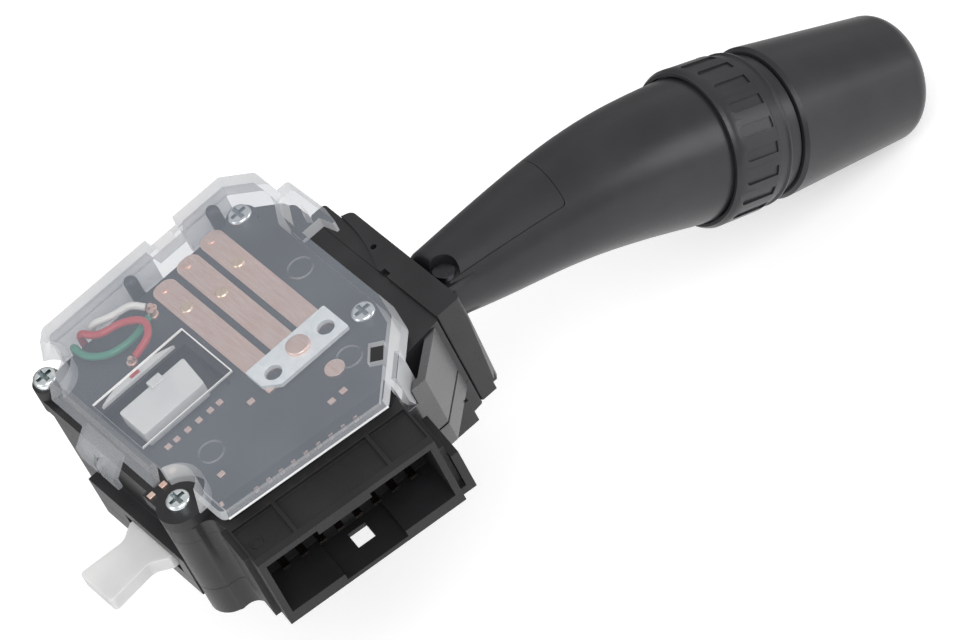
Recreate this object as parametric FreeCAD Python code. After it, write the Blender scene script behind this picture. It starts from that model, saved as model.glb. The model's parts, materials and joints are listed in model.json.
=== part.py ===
# Combination stalk switch: lamp, indicator and fog controls on one lever
import FreeCAD, Part
import math
import os

# Millimetres. +X runs out along the lever, +Z is up through the clear cover, -Y is the connector side.
# The origin is on the turn axis, at the flat outer face of the bottom cover.

# Driving dimensions of the stacked case
FLOOR_HEIGHT = 8.5
HOUSING_HEIGHT = 16.5
FRAME_THICKNESS = 4.0
PLATE_THICKNESS = 3.0
COVER_HEIGHT = 6.0
COVER_WALL = 1.5
CASE_WALL = 2.0
COVER_WALL_GAP = 0.3
APRONS = [(-27.0, 1.2), (10.2, 22.4)]
APRON_BOTTOM = 24.0
CASE_LEFT = -37.5
CASE_RIGHT = 31.3
CASE_BACK = 43.2
PLATE_BACK = 37.0
CASE_FRONT_RIGHT = -21.5
RUNNING_GAP = 0.08
JOINT_GAP = 0.3

# Driving dimensions of the case screws and their bosses
SCREW_BACK = (-34.2, 36.4)
SCREW_FRONT = (-35.4, -15.5)
SCREW_RADIUS = 1.5
SCREW_HEAD_RADIUS = 2.8
SCREW_HEAD_HEIGHT = 1.9
BOSS_RADIUS = 5.4
BACK_BOSS_RADIUS = 3.4
PLATE_SCREWS = [(20.6, 35.5), (21.2, -9.6)]
PLATE_SCREW_LENGTH = 6.0

# Opening in the column flange for the lever: front, back, bottom and top
LEVER_WINDOW = (-12.0, 15.4, 1.2, 23.4)

# Driving dimensions of the connector
PLUG_ANGLE = 7.5
PLUG_CORNER = (-34.5, -41.5)
PLUG_WIDTH = 45.0
PLUG_BOTTOM = 9.5
PLUG_TOP = 30.0
PLUG_LENGTH = 15.0
PLUG_DEPTH = 12.5
PLUG_WALL = 1.6
PLUG_FLOOR = 3.0
PLUG_KEY = (14.5, 28.0)
PLUG_LATCH = (15.0, 30.5)
LATCH_WINDOW = 4.4
PIN_COLUMNS = 8
PIN_WIDTH = 1.8
PIN_THICKNESS = 0.7
PIN_REACH = 4.6

# Driving dimensions of the lever
LEVER_YAW = 3.4
ROOT_TILT = 14.5
TIP_TILT = 28.8
TILT_PIN_X = 20.0
TILT_PIN_Z = 17.0
TILT_PIN_RADIUS = 1.6
BEND_START = 68.0
BEND_RADIUS = 130.0
RING_START_X = 108.6
LEVER_WALL = 2.8
SHANK_WIDTH = 10.0
SHANK_HEIGHT = 9.6
SHANK_TAIL = 5.0
SHANK_REACH = 31.0
NECK_START = 40.2
NECK_ROUND = 1.9
NECK_RADII = [(40.2, 8.2), (48.0, 9.3), (57.0, 10.6), (68.0, 12.0), (80.0, 13.6), (92.0, 15.1),
              (101.0, 16.0)]
NECK_END_RADIUS = 16.4
PATCH_LENGTH = 32.1
PATCH_SIDE_ROOT = -6.2
PATCH_SIDE_END = -9.2
PATCH_GAP = 0.12
NECK_SCREW_X = 41.6
NECK_SCREW_Y = -4.4
NECK_SCREW_RECESS = 3.4
NECK_SCREW_SEAT = 5.6
NECK_SCREW_HEAD = 2.5
NECK_SCREW_SHANK = 1.2
NECK_SCREW_LENGTH = 8.0

# Driving dimensions of the fog ring, the index band and the end knob
RING_LENGTH = 15.4
RING_RADIUS = 18.2
RING_GROOVES = 20
RING_GROOVE_WIDTH = 2.5
RING_LIP_BORE = 16.8
RING_GROOVE_DEPTH = 1.1
RING_BORE = 12.0
BAND_LENGTH = 3.6
BAND_RADIUS = 16.0
BAND_BORE = 9.0
KNOB_LENGTH = 40.4
KNOB_RADIUS = 17.5
KNOB_TIP_RADIUS = 14.6
KNOB_EDGE = 5.0
KNOB_WALL = 1.8
KNOB_CROWN = 1.1
SPINDLE_RADIUS = 5.0
SPINDLE_LENGTH = 30.0

# Driving dimensions of the turn carrier and the cancel finger
HUB_RADIUS = 8.0
JOURNAL_RADIUS = 4.0
CARRIER_TOP = 24.2
CARRIER_BOTTOM = 13.2
CARRIER_TAIL = -24.0
CHEEK = 2.8
TURN_RANGE = 7.0
FINGER_PIVOT_X = -31.0
FINGER_PIN_RADIUS = 1.5
FINGER_BOTTOM = 9.0
FINGER_THICKNESS = 3.6
FINGER_TIP_X = -57.0
FINGER_TIP_WIDTH = 12.0
FINGER_NECK_WIDTH = 9.6
FINGER_ROOT_WIDTH = 15.0
GUIDE_LEFT = -41.0
GUIDE_BACK = 22.0
GUIDE_FRONT = -14.0
SLOT_HALF = 9.8
PEG_X = -20.0
PEG_Y = 9.25
PEG_RADIUS = 1.5

# Driving dimensions of the detents
CAM_THICKNESS = 4.2
CAM_HALF_WIDTH = 11.0
CAM_LOW = 14.5
CAM_HIGH = 22.0
DETENT_RADIUS = CASE_BACK - CASE_WALL - CAM_THICKNESS
DETENT_Z = 18.2
PLUNGER_TRAVEL = 1.0
PLUNGER_RADIUS = 2.4
PLUNGER_LENGTH = 9.0
SPRING_WIRE = 0.35

# Driving dimensions of the contacts under the cover
# Each leaf contact: right edge, tip and contact bump
LEAVES = [(15.6, 38.0, 25.7), (8.2, 37.0, 22.2), (0.7, 36.0, 25.5)]
LEAF_WIDTH = 5.9
LEAF_THICKNESS = 0.5
CLAMP_LEFT = -5.4
CLAMP_RIGHT = 16.8
CLAMP_FRONT = -10.3
CLAMP_BACK = -1.1
CLAMP_THICKNESS = 1.2
SLIDER_LEFT = -29.6
SLIDER_RIGHT = -11.5
SLIDER_FRONT = 4.5
SLIDER_BACK = 14.0
SLIDER_HEIGHT = 4.4
WINDOW = (-32.5, -8.5, 0.8, 18.4)
COVER_PANEL = (-33.0, -7.8, -2.2, 16.7)
LEAD_RADIUS = 0.85
CLAMP_HOLE = 2.0
CLAMP_HOLES = (13.4, -1.4)
CLAMP_HOLE_Y = -6.3
RIVET_X = 6.4
RIVET_Y = -5.4
RIVET_RADIUS = 1.6
LIFTING_POSTS = (-6.4, 17.1)
LIFTING_POST_Y = 40.2
LIFTING_POST_RADIUS = 1.6
LIFTING_POST_TOP = 34.2

# Driving dimensions of the corner wall beside the connector and of the cover's foot
CORNER_TURN = (19.6, -31.2)
CORNER_END = (30.6, -21.03)
CORNER_WALL = 2.0
CORNER_BOTTOM = 7.3
CORNER_TOP = 28.3
CORNER_SEAM = 13.0
COVER_RIM = 2.2
COVER_CHAMFER = [(7.9, -36.6), (23.2, -20.2)]
EJECTOR_MARKS = [(-24.0, -15.8), (18.8, 7.4), (10.6, -21.0)]
FOOT_OUT = 1.7
FOOT_START = 8.0
FOOT_THICKNESS = 1.6
FOOT_WIDTH = 7.4
FOOT_BOTTOM = 24.3
LEG = (5.0, 19.2)

# Routes of the leads: entry, two levels and the corners of each path
LEAD_ENTRY_Y = 39.2
LEAD_LOW = 33.0
LEAD_HIGH = 34.9
GREEN_ROUTE = [(-24.9, LEAD_ENTRY_Y, 20.0), (-24.9, LEAD_ENTRY_Y, 27.0), (-24.9, 39.0, LEAD_LOW),
               (-25.2, 33.6, LEAD_LOW), (-21.6, 29.2, LEAD_LOW), (-15.6, 28.0, LEAD_LOW),
               (-9.4, 30.0, LEAD_LOW)]
RED_ROUTE = [(-22.4, LEAD_ENTRY_Y, 20.0), (-22.4, LEAD_ENTRY_Y, 28.0), (-22.4, 38.6, LEAD_HIGH),
             (-20.4, 33.9, LEAD_HIGH), (-14.4, 32.4, LEAD_HIGH), (-10.6, 28.6, LEAD_HIGH),
             (-12.8, 24.0, LEAD_HIGH), (-17.8, 24.0, LEAD_LOW)]
WHITE_ROUTE = [(-19.8, LEAD_ENTRY_Y, 20.0), (-19.8, LEAD_ENTRY_Y, 28.0), (-19.6, 38.0, LEAD_HIGH),
               (-15.2, 35.7, LEAD_HIGH), (-10.2, 35.4, LEAD_HIGH - 0.8), (-8.2, 33.0, LEAD_LOW)]

# Heights of the stack
HOUSING_TOP = FLOOR_HEIGHT + HOUSING_HEIGHT
FRAME_TOP = HOUSING_TOP + FRAME_THICKNESS
PLATE_TOP = FRAME_TOP + PLATE_THICKNESS
COVER_TOP = PLATE_TOP + COVER_HEIGHT
CLAMP_BASE = PLATE_TOP + LEAF_THICKNESS

V = FreeCAD.Vector
UP = V(0, 0, 1)
os.makedirs("parts", exist_ok=True)


def save(name, shape):
    shape.exportStep("parts/" + name + ".step")


def box(x0, x1, y0, y1, z0, z1):
    return Part.makeBox(x1 - x0, y1 - y0, z1 - z0, V(x0, y0, z0))


def rod(radius, start, end):
    along = end - start
    return Part.makeCylinder(radius, along.Length, start, along)


def post(radius, x, y, z0, z1):
    return rod(radius, V(x, y, z0), V(x, y, z1))


def fuse(shapes):
    joined = shapes[0]
    for shape in shapes[1:]:
        joined = joined.fuse(shape)
    return joined.removeSplitter()


def cut(shape, tools):
    for tool in tools:
        shape = shape.cut(tool)
    return shape


# Outlines: corners are (x, y, corner radius), counter-clockwise
def outline(corners, z):
    edges = []
    starts = []
    ends = []
    count = len(corners)
    for i, (x, y, radius) in enumerate(corners):
        corner = V(x, y, z)
        before = V(corners[i - 1][0], corners[i - 1][1], z) - corner
        after = V(corners[(i + 1) % count][0], corners[(i + 1) % count][1], z) - corner
        before.normalize()
        after.normalize()
        half = before.getAngle(after) / 2
        reach = radius / math.tan(half)
        first = corner + before * reach
        last = corner + after * reach
        starts.append(first)
        ends.append(last)
        if radius > 0:
            middle = (before + after).normalize()
            point = corner + middle * (radius / math.sin(half) - radius)
            edges.append((i, Part.Arc(first, point, last).toShape()))
    for i in range(count):
        a = ends[i]
        b = starts[(i + 1) % count]
        if (b - a).Length > 1e-6:
            edges.append((i + 0.5, Part.LineSegment(a, b).toShape()))
    edges.sort(key=lambda pair: pair[0])
    return Part.Wire([edge for place, edge in edges])


def grown(corners, distance):
    moved = []
    count = len(corners)
    for i, (x, y, radius) in enumerate(corners):
        ax, ay = x - corners[i - 1][0], y - corners[i - 1][1]
        bx, by = corners[(i + 1) % count][0] - x, corners[(i + 1) % count][1] - y
        al, bl = math.hypot(ax, ay), math.hypot(bx, by)
        n1 = (ay / al, -ax / al)
        n2 = (by / bl, -bx / bl)
        scale = distance / (1 + n1[0] * n2[0] + n1[1] * n2[1])
        turns_left = ax * by - ay * bx > 0
        new_radius = max(radius + (distance if turns_left else -distance), 0) if radius > 0 else 0
        moved.append((x + (n1[0] + n2[0]) * scale, y + (n1[1] + n2[1]) * scale, new_radius))
    return moved


def prism(corners, z0, z1):
    return Part.Face(outline(corners, z0)).extrude(V(0, 0, z1 - z0))


def flared(corners, z0, z1, flare):
    return Part.makeLoft([outline(grown(corners, flare), z0), outline(corners, z1)], True, True)


# The connector is set out square and then turned to its place on the case
def plug_place(shape):
    turned = shape.copy()
    turned.rotate(V(0, 0, 0), UP, -PLUG_ANGLE)
    turned.translate(V(PLUG_CORNER[0], PLUG_CORNER[1], 0))
    return turned


def plug_point(along, inward):
    angle = math.radians(PLUG_ANGLE)
    x = PLUG_CORNER[0] + along * math.cos(angle) + inward * math.sin(angle)
    y = PLUG_CORNER[1] - along * math.sin(angle) + inward * math.cos(angle)
    return x, y


# Case outline shared by the bottom cover and the main housing
back_left = plug_point(0, PLUG_LENGTH)
back_right = plug_point(PLUG_WIDTH, PLUG_LENGTH)
case_outline = [
    (CASE_LEFT + 4.2, CASE_BACK, 2.0), (CASE_LEFT, CASE_BACK - 9.2, 1.5),
    (CASE_LEFT, SCREW_FRONT[1] - BOSS_RADIUS, 1.0),
    (back_left[0], SCREW_FRONT[1] - BOSS_RADIUS, 3.0), (back_left[0], back_left[1], 0.8),
    (back_right[0], back_right[1], 0.8), (back_right[0] + 1.5, CASE_FRONT_RIGHT - 2.5, 1.0),
    (CASE_RIGHT, CASE_FRONT_RIGHT, 0.8), (CASE_RIGHT, CASE_BACK - 6.0, 2.0),
    (CASE_RIGHT - 6.0, CASE_BACK, 2.0)]
frame_outline = [
    (CASE_LEFT, PLATE_BACK, 2.0), (CASE_LEFT, SCREW_FRONT[1] - BOSS_RADIUS, 1.0),
    (back_left[0], SCREW_FRONT[1] - BOSS_RADIUS, 3.0), (back_left[0], back_left[1], 0.8),
    (back_right[0], back_right[1], 0.8), (back_right[0] + 1.5, CASE_FRONT_RIGHT - 2.5, 1.0),
    (CASE_RIGHT, CASE_FRONT_RIGHT, 0.8), (CASE_RIGHT, PLATE_BACK - 6.0, 2.0),
    (CASE_RIGHT - 6.0, PLATE_BACK, 2.0)]


def case_bosses(z0, z1):
    return [post(BACK_BOSS_RADIUS, SCREW_BACK[0], SCREW_BACK[1], z0, z1),
            post(BOSS_RADIUS, SCREW_FRONT[0], SCREW_FRONT[1], z0, z1)]


# Below the middle frame the back boss stays inside the case's bevelled corner
def lower_bosses(z0, z1):
    back, front = case_bosses(z0, z1)
    return [back.common(prism(case_outline, z0, z1)), front]


def case_screw_holes(radius, z0, z1):
    return [post(radius, SCREW_BACK[0], SCREW_BACK[1], z0, z1),
            post(radius, SCREW_FRONT[0], SCREW_FRONT[1], z0, z1)]


# Bottom cover: a tray with the lower turn bearing and the finger's lower guide
def bottom_cover():
    tray = fuse([prism(case_outline, 0, FLOOR_HEIGHT),
                 box(GUIDE_LEFT, CASE_LEFT + 1, GUIDE_FRONT, GUIDE_BACK, 4.0, FLOOR_HEIGHT)])
    hollow = prism(grown(case_outline, -CASE_WALL), CASE_WALL, FLOOR_HEIGHT + 1)
    tray = tray.cut(hollow)
    tower = post(JOURNAL_RADIUS + 2.5, 0, 0, CASE_WALL, FLOOR_HEIGHT)
    ribs = [box(-26, 26, -0.8, 0.8, CASE_WALL, 5.0), box(-0.8, 0.8, -24, 38, CASE_WALL, 5.0)]
    seat = post(4.0, FINGER_PIVOT_X, 0, CASE_WALL, FINGER_BOTTOM - 0.2)
    pin = post(FINGER_PIN_RADIUS, FINGER_PIVOT_X, 0, CASE_WALL, FINGER_BOTTOM + FINGER_THICKNESS + 0.2)
    # The front wall steps back under the connector's latch window
    step_block = plug_place(box(11.0, 35.0, PLUG_LENGTH + 0.5, 22.5, 1.0, FLOOR_HEIGHT))
    ledge = box(21.2, 27.7, -24.6, -21.0, 0, CORNER_BOTTOM - JOINT_GAP)
    tray = fuse([tray, tower, seat, pin, step_block, ledge] + ribs + lower_bosses(0, FLOOR_HEIGHT))
    step = plug_place(box(13.0, 33.0, PLUG_LENGTH - 1, 20.5, -1, 6.5))
    bearing = post(JOURNAL_RADIUS + RUNNING_GAP, 0, 0, 3.6, FLOOR_HEIGHT + 1)
    lever_room = box(CASE_RIGHT - CASE_WALL - 1, CASE_RIGHT + 1, -11.5, 11.5, 5.6, FLOOR_HEIGHT + 1)
    return cut(tray, [bearing, lever_room, step] + case_screw_holes(SCREW_RADIUS, 1.5, FLOOR_HEIGHT + 1))


# Main housing: a ring of walls with windows for the lever and the finger
def main_housing():
    wall = prism(case_outline, FLOOR_HEIGHT, HOUSING_TOP)
    guide = box(GUIDE_LEFT, CASE_LEFT + 1, GUIDE_FRONT, GUIDE_BACK, FLOOR_HEIGHT, 16.0)
    wall = wall.fuse(guide)
    wall = wall.cut(prism(grown(case_outline, -CASE_WALL), FLOOR_HEIGHT - 1, HOUSING_TOP + 1))
    shell = fuse([wall] + lower_bosses(FLOOR_HEIGHT, HOUSING_TOP))
    finger_top = FINGER_BOTTOM + FINGER_THICKNESS + 0.5
    slot = box(GUIDE_LEFT - 1, CASE_LEFT + CASE_WALL + 1, -SLOT_HALF, SLOT_HALF,
               FLOOR_HEIGHT - 1, finger_top)
    lever_window = box(CASE_RIGHT - CASE_WALL - 1, CASE_RIGHT + 1, -11.5, 11.5,
                       FLOOR_HEIGHT - 1, 24.0)
    return cut(shell, [slot, lever_window] + case_screw_holes(SCREW_RADIUS + 0.2, 0, PLATE_TOP))


# Middle frame: carries the upper turn bearing and the two lifting posts
def middle_frame():
    body = prism(frame_outline, HOUSING_TOP, FRAME_TOP)
    posts = []
    for x in LIFTING_POSTS:
        posts.append(box(x - 2.2, x + 2.2, PLATE_BACK - 1, LIFTING_POST_Y + LIFTING_POST_RADIUS,
                         HOUSING_TOP, HOUSING_TOP + 2.5))
        posts.append(post(LIFTING_POST_RADIUS, x, LIFTING_POST_Y, HOUSING_TOP, LIFTING_POST_TOP))
        posts.append(Part.makeSphere(LIFTING_POST_RADIUS, V(x, LIFTING_POST_Y, LIFTING_POST_TOP)))
    frame = fuse([body] + case_bosses(HOUSING_TOP, FRAME_TOP) + posts)
    bearing = post(JOURNAL_RADIUS + RUNNING_GAP, 0, 0, HOUSING_TOP - 1, HOUSING_TOP + 3.2)
    swing = math.radians(TURN_RANGE)
    side = abs(PEG_X) * math.sin(swing) + PEG_RADIUS + 0.5
    forward = PEG_Y * math.sin(swing) + PEG_RADIUS + 0.5
    peg_slot = box(PEG_X - forward, PEG_X + forward, PEG_Y - side, PEG_Y + side,
                   HOUSING_TOP - 1, FRAME_TOP + 1)
    screws = [post(SCREW_RADIUS - 0.1, x, y, HOUSING_TOP + 0.8, FRAME_TOP + 1) for x, y in PLATE_SCREWS]
    return cut(frame, [bearing, peg_slot] + screws
               + case_screw_holes(SCREW_RADIUS + 0.2, 0, PLATE_TOP))


# Contact plate: the black moulding that carries the copper
plate_outline = [
    (-31.0, PLATE_BACK, 2.5), (-34.0, 30.0, 2.0), (-34.0, -9.0, 2.0),
    (back_left[0] + 1.5, SCREW_FRONT[1] - 4.0, 2.0), (back_left[0] + 1.5, back_left[1] + 1.5, 0.8),
    (9.5, back_right[1] + 2.0, 1.5), (24.6, -19.0, 1.5), (24.6, 30.0, 2.0), (20.0, PLATE_BACK, 3.0)]


def contact_plate():
    plate = prism(plate_outline, FRAME_TOP, PLATE_TOP)
    bridge = [box(-35.4, -31.0, 30.0, 38.0, FRAME_TOP, PLATE_TOP),
              box(-35.4, -30.0, -20.9, -10.0, FRAME_TOP, PLATE_TOP),
              box(-39.4, -31.0, -12.5, -6.8, FRAME_TOP, PLATE_TOP),
              post(3.7, PLATE_SCREWS[0][0], PLATE_SCREWS[0][1], FRAME_TOP, PLATE_TOP)]
    front_wall = plug_place(box(2.6, PLUG_WIDTH - 2.0, PLUG_LENGTH + 0.4, PLUG_LENGTH + 1.9,
                                FRAME_TOP, COVER_TOP - COVER_WALL - COVER_WALL_GAP))
    plate = fuse([plate, front_wall] + bridge + case_bosses(FRAME_TOP, PLATE_TOP))
    x0, x1, y0, y1 = WINDOW
    window = prism([(x0, y1, 1.0), (x0, y0, 1.0), (x1, y0, 1.0), (x1, y1, 1.0)],
                   FRAME_TOP - 1, PLATE_TOP + 1)
    holes = [post(SCREW_RADIUS + 0.2, x, y, 0, PLATE_TOP + 1) for x, y in PLATE_SCREWS]
    return cut(plate, [window] + holes + case_screw_holes(SCREW_RADIUS + 0.2, 0, PLATE_TOP + 1))


# Column flange: the tall wall that closes the column housing round the lever
def column_flange():
    inner = CASE_RIGHT
    outer = 37.8
    front = CASE_FRONT_RIGHT
    plan = [(inner, 25.2, 0.5), (inner, front, 0.5), (outer, front, 1.0), (outer, 17.6, 2.0),
            (35.4, 18.6, 0.5), (35.4, 25.2, 1.0)]
    wall = prism(plan, 0.5, PLUG_TOP)
    step = Part.Wire([Part.Arc(V(inner, 0, 29.2), V(33.6, 6.5, 29.2), V(35.4, 18.6, 29.2)).toShape(),
                      Part.LineSegment(V(35.4, 18.6, 29.2), V(36.4, 26, 29.2)).toShape(),
                      Part.LineSegment(V(36.4, 26, 29.2), V(inner - 1, 26, 29.2)).toShape(),
                      Part.LineSegment(V(inner - 1, 26, 29.2), V(inner - 1, 0, 29.2)).toShape(),
                      Part.LineSegment(V(inner - 1, 0, 29.2), V(inner, 0, 29.2)).toShape()])
    shelf = Part.Face(step).extrude(V(0, 0, 2))
    front_side, back_side, low, high = LEVER_WINDOW
    window = box(inner - 1, outer + 1, front_side, back_side, low, high)
    window = window.makeFillet(2.5, [edge for edge in window.Edges
                                     if abs(edge.BoundBox.XLength - (outer + 2 - inner)) < 0.01])
    pip = post(0.7, 34.6, 5.6, 28.5, 31)
    notch = box(30.0, 32.4, -3.4, -1.2, 28.4, 31)
    foot = box(outer - 2.4, outer + 1, front - 1, front + 2.0, 0, 3.2)
    # The front corner leans in towards its foot
    lean = [Part.makePolygon([V(outer - reach, front - 0.1, z), V(outer + 0.1, front - 0.1, z),
                              V(outer + 0.1, front + 1.4 * reach, z), V(outer - reach, front - 0.1, z)])
            for z, reach in ((PLUG_TOP + 1, 0.1), (0.0, 2.3))]
    return cut(wall, [shelf, window, pip, notch, foot, Part.makeLoft(lean, True, True)])


# Corner wall: turns from the front face to the column flange, with a seam all round
def corner_place(s_along, out):
    (x0, y0), (x1, y1) = COVER_CHAMFER
    length = math.hypot(x1 - x0, y1 - y0)
    along = ((x0 - x1) / length, (y0 - y1) / length)
    across = (-along[1], along[0])
    return (x1 + along[0] * s_along + across[0] * out, y1 + along[1] * s_along + across[1] * out)


def cover_foot(gap):
    near = FOOT_OUT - FOOT_THICKNESS - gap
    far = FOOT_OUT + gap
    ends = (FOOT_START - gap, FOOT_START + FOOT_WIDTH + gap)
    corners = [corner_place(ends[0], near), corner_place(ends[1], near),
               corner_place(ends[1], far), corner_place(ends[0], far)]
    blade = prism([(x, y, 0) for x, y in corners], FOOT_BOTTOM - gap, PLATE_TOP + 4.0)
    if gap > 0:
        return blade
    # The far lower corner is cut off
    a = corner_place(ends[1] - 2.0, far + 1)
    b = corner_place(ends[1] + 1, far + 1)
    tip = Part.makePolygon([V(a[0], a[1], FOOT_BOTTOM - 0.1), V(b[0], b[1], FOOT_BOTTOM - 0.1),
                            V(b[0], b[1], FOOT_BOTTOM + 5.7), V(a[0], a[1], FOOT_BOTTOM - 0.1)])
    c = corner_place(0, 0)
    d = corner_place(0, FOOT_THICKNESS + 3)
    return blade.cut(Part.Face(tip).extrude(V(c[0] - d[0], c[1] - d[1], 0)))


def side_guides():
    x0, y0 = CORNER_TURN
    x1, y1 = CORNER_END
    length = math.hypot(x1 - x0, y1 - y0)
    dx, dy = (x1 - x0) / length, (y1 - y0) / length
    inner_end = x1 - CORNER_WALL / dy
    inner_turn = x0 - CORNER_WALL * (1 - dx) / dy
    plan = [(12.0, y0 + CORNER_WALL, 0), (12.0, y0, 0), (x0, y0, 0.4), (x1, y1, 0),
            (inner_end, y1, 0), (inner_turn, y0 + CORNER_WALL, 0)]
    wall = prism(plan, CORNER_BOTTOM, CORNER_TOP)
    core = prism(grown(plan, -0.6), CORNER_SEAM - 1, CORNER_SEAM + 2)
    seam = prism(grown(plan, 1.0), CORNER_SEAM, CORNER_SEAM + 0.6).cut(core)
    walls = cut(wall, [seam, cover_foot(JOINT_GAP)])
    return walls.cut(prism(grown(case_outline, 0.001), -1, HOUSING_TOP + 10))


# Connector: a deep socket with a keyed roof, a latch window and a ribbed top
def connector_shroud():
    body = box(0, PLUG_WIDTH, 0, PLUG_LENGTH, PLUG_BOTTOM, PLUG_TOP)
    cavity = box(PLUG_WALL, PLUG_WIDTH - PLUG_WALL, -1, PLUG_DEPTH,
                 PLUG_BOTTOM + PLUG_FLOOR, PLUG_TOP - PLUG_WALL)
    key = box(PLUG_KEY[0], PLUG_KEY[1], 0, PLUG_DEPTH, PLUG_TOP - PLUG_WALL - 1.3, PLUG_TOP - PLUG_WALL)
    latch = box(PLUG_LATCH[0], PLUG_LATCH[1], -1, PLUG_DEPTH, PLUG_BOTTOM + 1.2, PLUG_BOTTOM + PLUG_FLOOR + 1)
    middle = (PLUG_LATCH[0] + PLUG_LATCH[1]) / 2
    window = box(middle - LATCH_WINDOW / 2 + 0.4, middle + LATCH_WINDOW / 2 + 0.4, 5.6, 10.4,
                 PLUG_BOTTOM - 1, PLUG_BOTTOM + 2)
    ribs = (0.0, 11.0, 35.0, PLUG_WIDTH)
    panels = [box(ribs[i] + 0.5, ribs[i + 1] - 0.5, 2.2, 12.6, PLUG_TOP - 1.0, PLUG_TOP + 1)
              for i in range(3)]
    rail = [box(PLUG_WIDTH, PLUG_WIDTH + 1.6, 3.0, PLUG_LENGTH, PLUG_BOTTOM, PLUG_BOTTOM + 14.5),
            box(PLUG_WIDTH, PLUG_WIDTH + 3.6, 1.5, PLUG_LENGTH, PLUG_BOTTOM, PLUG_BOTTOM + 2.0),
            box(PLUG_WIDTH + 1.6, PLUG_WIDTH + 3.6, 1.5, PLUG_LENGTH, PLUG_BOTTOM + 2.0, PLUG_BOTTOM + 12.0)]
    fin = box(-1.4, 0, 4.5, PLUG_LENGTH, PLUG_BOTTOM, PLUG_TOP - 1.0)
    pins = [box(x - PIN_WIDTH / 2, x + PIN_WIDTH / 2, PLUG_DEPTH - 1, PLUG_LENGTH + 1,
                z - PIN_THICKNESS / 2, z + PIN_THICKNESS / 2) for x, z in pin_places()]
    shell = cut(fuse([body.cut(cavity), key] + rail + [fin]), [latch, window] + panels + pins)
    mark = post(1.5, 3.2, 6.6, PLUG_TOP - 1.1, PLUG_TOP - 0.7).cut(post(1.1, 3.2, 6.6, 0, PLUG_TOP))
    return plug_place(fuse([shell, mark]))


def pin_places():
    pitch = (PLUG_WIDTH - 2 * PLUG_WALL) / (PIN_COLUMNS + 1)
    heights = (PLUG_BOTTOM + PLUG_FLOOR + 3.6, PLUG_TOP - PLUG_WALL - 4.2)
    return [(PLUG_WALL + pitch * (i + 1), z) for i in range(PIN_COLUMNS) for z in heights]


# Connector pins: tinned blades held in the socket's back wall
def connector_pins():
    blades = []
    for x, z in pin_places():
        blades.append(box(x - PIN_WIDTH / 2, x + PIN_WIDTH / 2, PLUG_DEPTH - PIN_REACH, PLUG_LENGTH,
                          z - PIN_THICKNESS / 2, z + PIN_THICKNESS / 2))
    return plug_place(Part.makeCompound(blades))


# Clear cover: a thin lid with flared skirts, snap legs and arcs round the case screws
cover_outline = [
    (-27.6, CASE_BACK + 0.2, 2.0), (-35.0, CASE_BACK - 8.0, 0.5), (-35.0, -9.0, 1.0),
    (-32.5, -14.0, 1.0), (-32.6, -30.8, 1.5),
    (*COVER_CHAMFER[0], 1.5), (*COVER_CHAMFER[1], 1.5), (25.0, -13.0, 2.0), (25.0, 22.0, 3.0),
    (28.8, 29.0, 2.0), (28.8, 37.4, 2.0), (22.8, CASE_BACK + 0.2, 1.5),
    (9.6, CASE_BACK + 0.2, 0.0), (8.8, 41.0, 0.0), (1.8, 41.0, 0.0), (1.8, CASE_BACK + 0.2, 0.0)]


def clear_cover():
    flare = 1.6
    low = PLATE_TOP
    outer = flared(cover_outline, low, COVER_TOP, flare)
    inner = flared(grown(cover_outline, -COVER_WALL), low - 1, COVER_TOP - COVER_WALL, flare)
    near_screws = [post(BOSS_RADIUS + COVER_WALL_GAP, x, y, 0, COVER_TOP + 1)
                   for x, y in (SCREW_BACK, SCREW_FRONT)]
    arcs = [post(BOSS_RADIUS + COVER_WALL_GAP + COVER_WALL, x, y, low, COVER_TOP)
            for x, y in (SCREW_BACK, SCREW_FRONT)]
    shell = cut(outer, [cut(inner, arcs)] + near_screws)
    # Only a low rim runs along the front edge, where the connector's roof meets the lid
    shell = shell.cut(box(-40.0, 12.0, -45.0, -21.5, low - 1, COVER_TOP - COVER_RIM))
    notch = box(-41.0, -33.6, -12.5, -7.4, low - 1, COVER_TOP + 1)
    x0, x1, y0, y1 = COVER_PANEL
    panel = box(x0, x1, y0, y1, COVER_TOP - 0.5, COVER_TOP + 1)
    hole = box(-1.75, 1.75, -2.6, 2.6, COVER_TOP - 4, COVER_TOP + 1)
    hole.rotate(V(0, 0, 0), UP, -40.0)
    hole.translate(V(15.0, -24.9, 0))
    marks = [post(3.0, x, y, COVER_TOP - 0.15, COVER_TOP + 1).cut(post(2.7, x, y, 0, COVER_TOP + 1))
             for x, y in EJECTOR_MARKS]
    # Snap legs: one slotted leg on the left, a forked one at the back right, a foot at the front right
    slope = [(-35.8, 33.2), (-40.4, 28.6), (-40.4, 25.2), (-39.2, 25.2), (-39.2, 28.1), (-35.3, 32.0)]
    left = Part.Face(Part.makePolygon([V(x, LEG[0], z) for x, z in slope + slope[:1]]))
    left = left.extrude(V(0, LEG[1] - LEG[0], 0))
    left = left.cut(prism([(-37.9, 11.2, 0.1), (-38.9, 13.3, 0.1), (-41.5, 11.5, 0.1)], 24, 34))
    right = prism([(33.0, 33.0, 1.0), (28.0, 33.0, 0), (25.4, 22.5, 0), (25.4, 18.6, 0), (31.0, 18.6, 0.3),
                   (31.9, 14.8, 0.3), (32.6, 14.8, 0.3), (33.4, 19.5, 0.5)], 31.0, 34.0)
    right = right.cut(prism([(30.9, 26.0, 0.2), (29.3, 22.6, 0.2), (30.2, 21.3, 0.2)], 30, 35))
    # Two aprons close the back down to the main housing
    back = CASE_BACK + 2 * COVER_WALL_GAP
    aprons = [box(x0, x1, back, back + COVER_WALL, APRON_BOTTOM, low + 0.6) for x0, x1 in APRONS]
    body = fuse([shell, left, right, cover_foot(0)] + aprons)
    return cut(body, [panel, hole, notch] + marks)


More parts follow.
